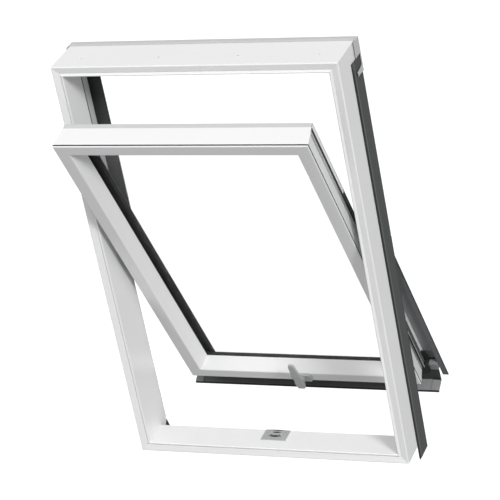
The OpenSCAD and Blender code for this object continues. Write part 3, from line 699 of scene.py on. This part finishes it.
# stations along the lever: distance, half width, underside, top
leverStations = [(-17.9, 9.8, 21.4, 29.8), (-17.8, 10.5, 20.6, 30.6), (-17.0, 10.8, 20.1, 31.0),
                 (-12, 11.2, 20.0, 31.0), (-6, 13.0, 20.0, 31.0), (0, 14.0, 20.0, 31.0),
                 (6, 13.4, 20.0, 31.0), (11, 12.6, 20.1, 31.0), (16, 12.2, 20.4, 31.0),
                 (30, 11.9, 21.0, 30.9), (50, 11.4, 21.4, 30.7), (70, 10.6, 21.4, 30.5),
                 (84, 9.8, 21.5, 30.3), (92, 8.8, 21.7, 30.1), (97, 6.9, 22.2, 29.6),
                 (100, 4.2, 23.2, 28.6), (100.9, 2.0, 24.4, 27.4)]


# the lower the power, the squarer the lever's section
leverSection = {"sides": 32, "power": 0.30}


def leverSolid():
    steps, power = leverSection["sides"], leverSection["power"]
    points = []
    for along, half, low, high in leverStations:
        middle, rise = (low + high) / 2, (high - low) / 2
        for i in range(steps):
            angle = 2 * math.pi * i / steps
            c, s = math.cos(angle), math.sin(angle)
            points.append((half * math.copysign(abs(c) ** power, c), along,
                           middle + rise * math.copysign(abs(s) ** power, s)))
    return points, ringFaces(len(leverStations), steps)


hubProfile = [(8.0, 1.2), (10.6, 1.2), (10.95, 1.6), (10.95, 17.5), (11.3, 19.0), (12.2, 20.2),
              (12.2, 20.8)]
lever = addPiece("handleLever", handleSpace, [leverSolid(), lathe(hubProfile, 40)],
                 "silverLacquer", "handle", sharp=50)
smoothLever = lever.modifiers.new("soften", "SUBSURF")
smoothLever.levels = 1
smoothLever.render_levels = 1
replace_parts(lever, "handle_lever")
print("handle made")

# rubber profiles as (inset, depth) points
sashSealSection = ([(4.6, 4.7), (4.6, 6.8), (3.4, 6.4), (3.4, 6.9), (2.2, 6.4), (2.2, 6.9)]
                   + arcPoints((0.6, 5.8), 1.2, 120, 240, 10)
                   + [(2.2, 4.7), (2.2, 5.0), (3.4, 4.7), (3.4, 5.1)])
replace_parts(addPiece("sashSealBulb", sashSpace, [sashLoop(sashSealSection)], "rubberAndPaintedShade", "sash",
                     sharp=50), "sash_seal")
innerGasketSection = [(46.7, 38.0), (46.7, 40.5), (53.4, 40.5), (54.6, 40.3), (55.3, 39.6),
                      (55.4, 38.7), (54.9, 38.1), (53.9, 38.0)]
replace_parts(addPiece("innerGasketLip", sashSpace, [sashLoop(innerGasketSection)], "rubberAndPaintedShade",
                     "sash", rounding=0.15), "inner_gasket")
outerGasketSection = [(-9.0, 64.5), (-9.0, 67.0), (0.4, 67.0), (1.4, 66.6), (1.9, 65.6),
                      (1.6, 64.5)]
outerGasket = {"side": 62.7, "top": 46.0, "bottom": 24.0}
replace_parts(addPiece("outerGasketLip", sashSpace,
                     [sashLoop(outerGasketSection, **outerGasket)], "softRubber", "sash",
                     rounding=0.15), "outer_gasket")
frameSealSection = ([(363.5, 124), (368.5, 124), (368.5, 126.5), (367.2, 127.4)]
                    + arcPoints((366.0, 129.0), 1.7, -20, 200, 10) + [(364.8, 127.4),
                                                                     (363.5, 126.5)])
frameSeal = prism(frameSealSection, "z", 30, frameTop - 30)
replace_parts(addPiece("frameSealStrips", roomSpace, [frameSeal, mirrored(frameSeal)],
                     "rubberAndPaintedShade", "frame", sharp=50), "frame_seal")
claddingSealSection = [(390.0, 82.0), (390.0, 80.6), (390.5, 80.4), (391.2, 80.5),
                       (391.7, 80.9), (391.8, 81.5), (391.6, 82.0)]
claddingSealRun = (-37, 1135)
for side in ("left", "right"):
    strip = prism(claddingSealSection, "z", *claddingSealRun)
    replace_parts(addPiece("claddingLip" + side.title(), roomSpace,
                         [mirrored(strip) if side == "left" else strip], "rubberAndPaintedShade", "frame",
                         rounding=0.1), "cladding_seal_" + side)
apronFoot, apronSealHalf = -628.0, 369.5
apronSealSection = ([(30.0, apronFoot - 2.5), (30.0, apronFoot + 2.5), (29.0, apronFoot + 2.5)]
                    + arcPoints((29.0, apronFoot), 2.5, 90, 270, 10)
                    + [(29.0, apronFoot - 2.5)])[:-1]
apronSeal = prism(apronSealSection, "x", -apronSealHalf, apronSealHalf)
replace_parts(addPiece("apronSealBulb", sashSpace, [apronSeal], "rubberAndPaintedShade", "sash",
                     sharp=50), "apron_seal")
print("seals made")

# turned caps on the pivots
pivot = {"depth": window["pivotDepth"] * 1000, "armX": 341.2}
pinProfile = [(1.2, -5.2), (3.6, -4.9), (5.6, -3.9), (6.5, -2.6), (6.5, -0.5), (4.0, -0.4),
              (3.95, 20.0), (3.3, 20.5)]
pinSolids = []
for side in (-1, 1):
    spot = Matrix.Translation((side * pivot["armX"], pivot["depth"],
                               window["pivotHeight"] * 1000))
    pinSolids.append(placed(lathe(pinProfile, 36),
                            spot @ Matrix.Rotation(math.radians(90 * side), 4, "Y")))
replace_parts(addPiece("pivotPins", roomSpace, pinSolids, "zincPlate", "frame"),
            "pivot_pins")

# the apron's inner face, whose paler right end stands for a reflection
apronLiningSection = [(31.0, -626.7), (65.6, -626.7), (66.2, -626.1), (66.2, -624.6), (65.6, -624.0),
                 (31.0, -625.9)]
for name, look, low, high in (("apronLining", "liningCoat", -345.0, 285.0),
                              ("apronLiningEnd", "primerAndPaintedLight", 285.3, 345.0)):
    addPiece(name, sashSpace, [prism(apronLiningSection, "x", low, high)], look, "sash",
             rounding=0.3)

# folded edges along the covers
hemRadius = 1.5
hemPlaces = {
    "lowerCoverHem": ("sash", sashSpace, (386.0, 84.6), -625.0, -10.0, "dark_metal"),
    "claddingHem": ("frame", roomSpace, (391.8, 146.2), -42.0, 615.0, "dark_metal"),
}
for name, (body, space, (x, n), low, high, slotName) in hemPlaces.items():
    section = arcPoints((x, n), hemRadius, 0, 330, 11)
    hem = prism(section, "z", low, high)
    addPiece(name + "s", space, [hem, mirrored(hem)], "darkCoat", body, sharp=60)

# trims along the sash's outer sides, clear of the hinges, and beside them black strips of painted
# shade for the gap to the covers
trimSection = [(339.6, 40.5), (340.5, 40.2), (340.9, 41.0), (339.3, 52.0), (338.6, 52.6),
               (337.8, 52.2)]
# the runs below and above the hinges
sideRuns = ((-536, -34), (58, 536))
# black strips whose colour is painted shade, standing for the dark gap between the trim and the
# cover
shadowSection = [(337.7, 53.4), (338.5, 53.2), (338.8, 53.8), (337.4, 63.6), (336.7, 64.2),
                 (336.1, 63.8)]
for name, section, look, slotName in (("sashSideTrims", trimSection, "bareMetal", "light_metal"),
                                      ("sashSideShadeStrips", shadowSection, "rubberAndPaintedShade",
                                       "black_rubber")):
    parts = [prism(section, "z", low, high) for low, high in sideRuns]
    addPiece(name, sashSpace, parts + [mirrored(part) for part in parts], look, "sash",
             rounding=0.2)

# seams beside the trims on the jambs' inner faces
jambSeamRun = (643, 1151.5)
seamPlaces = {"jambSeams": (94.6, 97.4, 1.0), "jambBackSeams": (124.4, 126.4, 1.2)}
for name, (near, back, proud) in seamPlaces.items():
    section = [(jambFace + 0.4, near), (jambFace - proud * 0.7, near + 0.3),
               (jambFace - proud, near + 1.0), (jambFace - proud, back - 0.5),
               (jambFace - proud * 0.5, back), (jambFace + 0.4, back)]
    jambSeam = prism(section, "z", *jambSeamRun)
    addPiece(name, roomSpace, [jambSeam, mirrored(jambSeam)], "rubberAndPaintedShade", "frame",
             rounding=0.1)

# a sloped fold and a dark seam on the side claddings, then a bead and tabs on the head cap
foldSection = [(391.3, 91.8), (392.3, 92.6), (392.8, 94.0), (392.8, 95.6), (392.3, 96.4),
               (391.3, 96.8)]
claddingRun = {"foot": -42.5, "foldTop": 1134.5, "seamTop": 1116.0}
fold = prism(foldSection, "z", claddingRun["foot"], claddingRun["foldTop"])
addPiece("claddingFolds", roomSpace, [fold, mirrored(fold)], "liningCoat", "frame",
         rounding=0.15)
claddingSeamSection = [(391.3, 84.5), (391.75, 84.7), (391.75, 91.0), (391.3, 91.2)]
claddingSeam = prism(claddingSeamSection, "z", claddingRun["foot"], claddingRun["seamTop"])
addPiece("claddingSeams", roomSpace, [claddingSeam, mirrored(claddingSeam)], "rubberAndPaintedShade", "frame",
         rounding=0.1)
beadSection = [(127.0, 1181.3), (128.5, 1182.2), (130.5, 1182.6), (141.0, 1182.6),
               (143.0, 1182.2), (144.5, 1181.3)]
beadHalf = 388.0
addPiece("capBead", roomSpace, [prism(beadSection, "x", -beadHalf, beadHalf)], "greyCoat",
         "frame", rounding=0.2)
tabSection = [(141.3, 1106.4), (102.9, 1102.8), (108.0, 1092.1), (149.5, 1088.5)]
tabFaces = (395.0, 396.0)
tabPoints = [(x, y, z) for x in tabFaces for y, z in tabSection]
tab = (tabPoints, ringFaces(2, 4))
addPiece("capTabs", roomSpace, [tab, mirrored(tab)], "greyCoat", "frame",
         rounding=0.3)

# dark closing pieces between the sash's sides and the apron's end blocks
shieldSection = [(80.0, -503.0), (85.0, -503.0), (94.6, -545.0), (94.6, -566.0), (91.0, -590.0),
                 (66.0, -590.0), (66.0, -546.0), (80.0, -546.0)]
shield = prism(shieldSection, "x", 337.8, 345.7)
lipSection = [(93.6, -566.0), (94.7, -566.0), (94.7, -556.0), (93.6, -556.0)]
lip = prism(lipSection, "x", 345.7, 369.4)
addPiece("apronShields", sashSpace, [part for solid in (shield, lip)
                                     for part in (solid, mirrored(solid))],
         "rubberAndPaintedShade", "sash", rounding=0.3)

# strips along the foot of the rails that carry the lower covers
railFootSection = [(337.3, 65.6), (337.8, 65.6), (338.1, 66.0), (338.1, 79.0), (337.8, 79.4),
                   (337.3, 79.4)]
ribSections = [[(338.0, n), (338.9, n + 0.3), (338.9, n + 1.9), (338.0, n + 2.2)]
               for n in (67.0, 71.5, 76.5)]
railFootRun, railRibRun = (-545.0, -30.0), (-544.6, -30.4)
railFoot = prism(railFootSection, "z", *railFootRun)
addPiece("railFeet", sashSpace, [railFoot, mirrored(railFoot)], "primerAndPaintedLight", "sash",
         rounding=0.15)
ribs = [prism(section, "z", *railRibRun) for section in ribSections]
addPiece("railRibs", sashSpace, ribs + [mirrored(rib) for rib in ribs], "rubberAndPaintedShade", "sash",
         rounding=0.15)

# plates that close the square ends of the sash's side covers
endPlates = [([(319.5, 67.6), (319.5, 74.6), (281.2, 68.4), (281.2, 67.4)], -521.6, -520.4),
             ([(297.4, 67.8), (297.4, 71.0), (281.2, 68.4), (281.2, 67.4)], 498.1, 499.3)]
endSolids = [prism(section, "z", low, high) for section, low, high in endPlates]
addPiece("coverEndPlates", sashSpace, endSolids + [mirrored(solid) for solid in endSolids],
         "rubberAndPaintedShade", "sash", rounding=0.2)

# pale strips over the upper flanges of those covers, and paler sheets under the lower covers, whose
# colour is painted light that lifts the shade there
flangeSection = [(335.9, 65.3), (336.3, 65.3), (336.6, 65.8), (336.6, 77.4), (336.3, 77.9),
                 (335.9, 77.9)]
flangeRun, coverShadeLiftRun = (262.0, 536.0), (-518.0, -30.0)
flange = prism(flangeSection, "z", *flangeRun)
addPiece("flangeStrips", sashSpace, [flange, mirrored(flange)], "whitePlastic", "sash",
         rounding=0.2)
# the paler sheet under each lower cover is painted light, lifting the shade on the cover's room side
coverShadeLiftSection = [(337.6, 94.0), (369.3, 94.0), (369.6, 94.2), (369.6, 94.5), (337.6, 94.5)]
coverShadeLift = prism(coverShadeLiftSection, "z", *coverShadeLiftRun)
addPiece("coverShadeLifts", sashSpace, [coverShadeLift, mirrored(coverShadeLift)], "primerAndPaintedLight", "sash",
         rounding=0.1)

# foam wedges that close the corners behind the sill
wedgeX = 0.1 - jambFace
wedgeSection = [(wedgeX, 112.6), (wedgeX, 125.6), (-355.5, 125.6), (-355.5, 113.4)]
wedgePoints = ([(x, y, 1.5) for x, y in wedgeSection]
               + [(wedgeX, 112.8, 12.0), (wedgeX, 125.6, 23.0), (-361.2, 125.6, 23.0),
                  (-361.2, 113.4, 12.0)])
wedge = (wedgePoints, ringFaces(2, 4))
addPiece("cornerWedges", roomSpace, [wedge, mirrored(wedge)], "rubberAndPaintedShade", "frame",
         rounding=0.4)
print("trims, hems and wedges made")
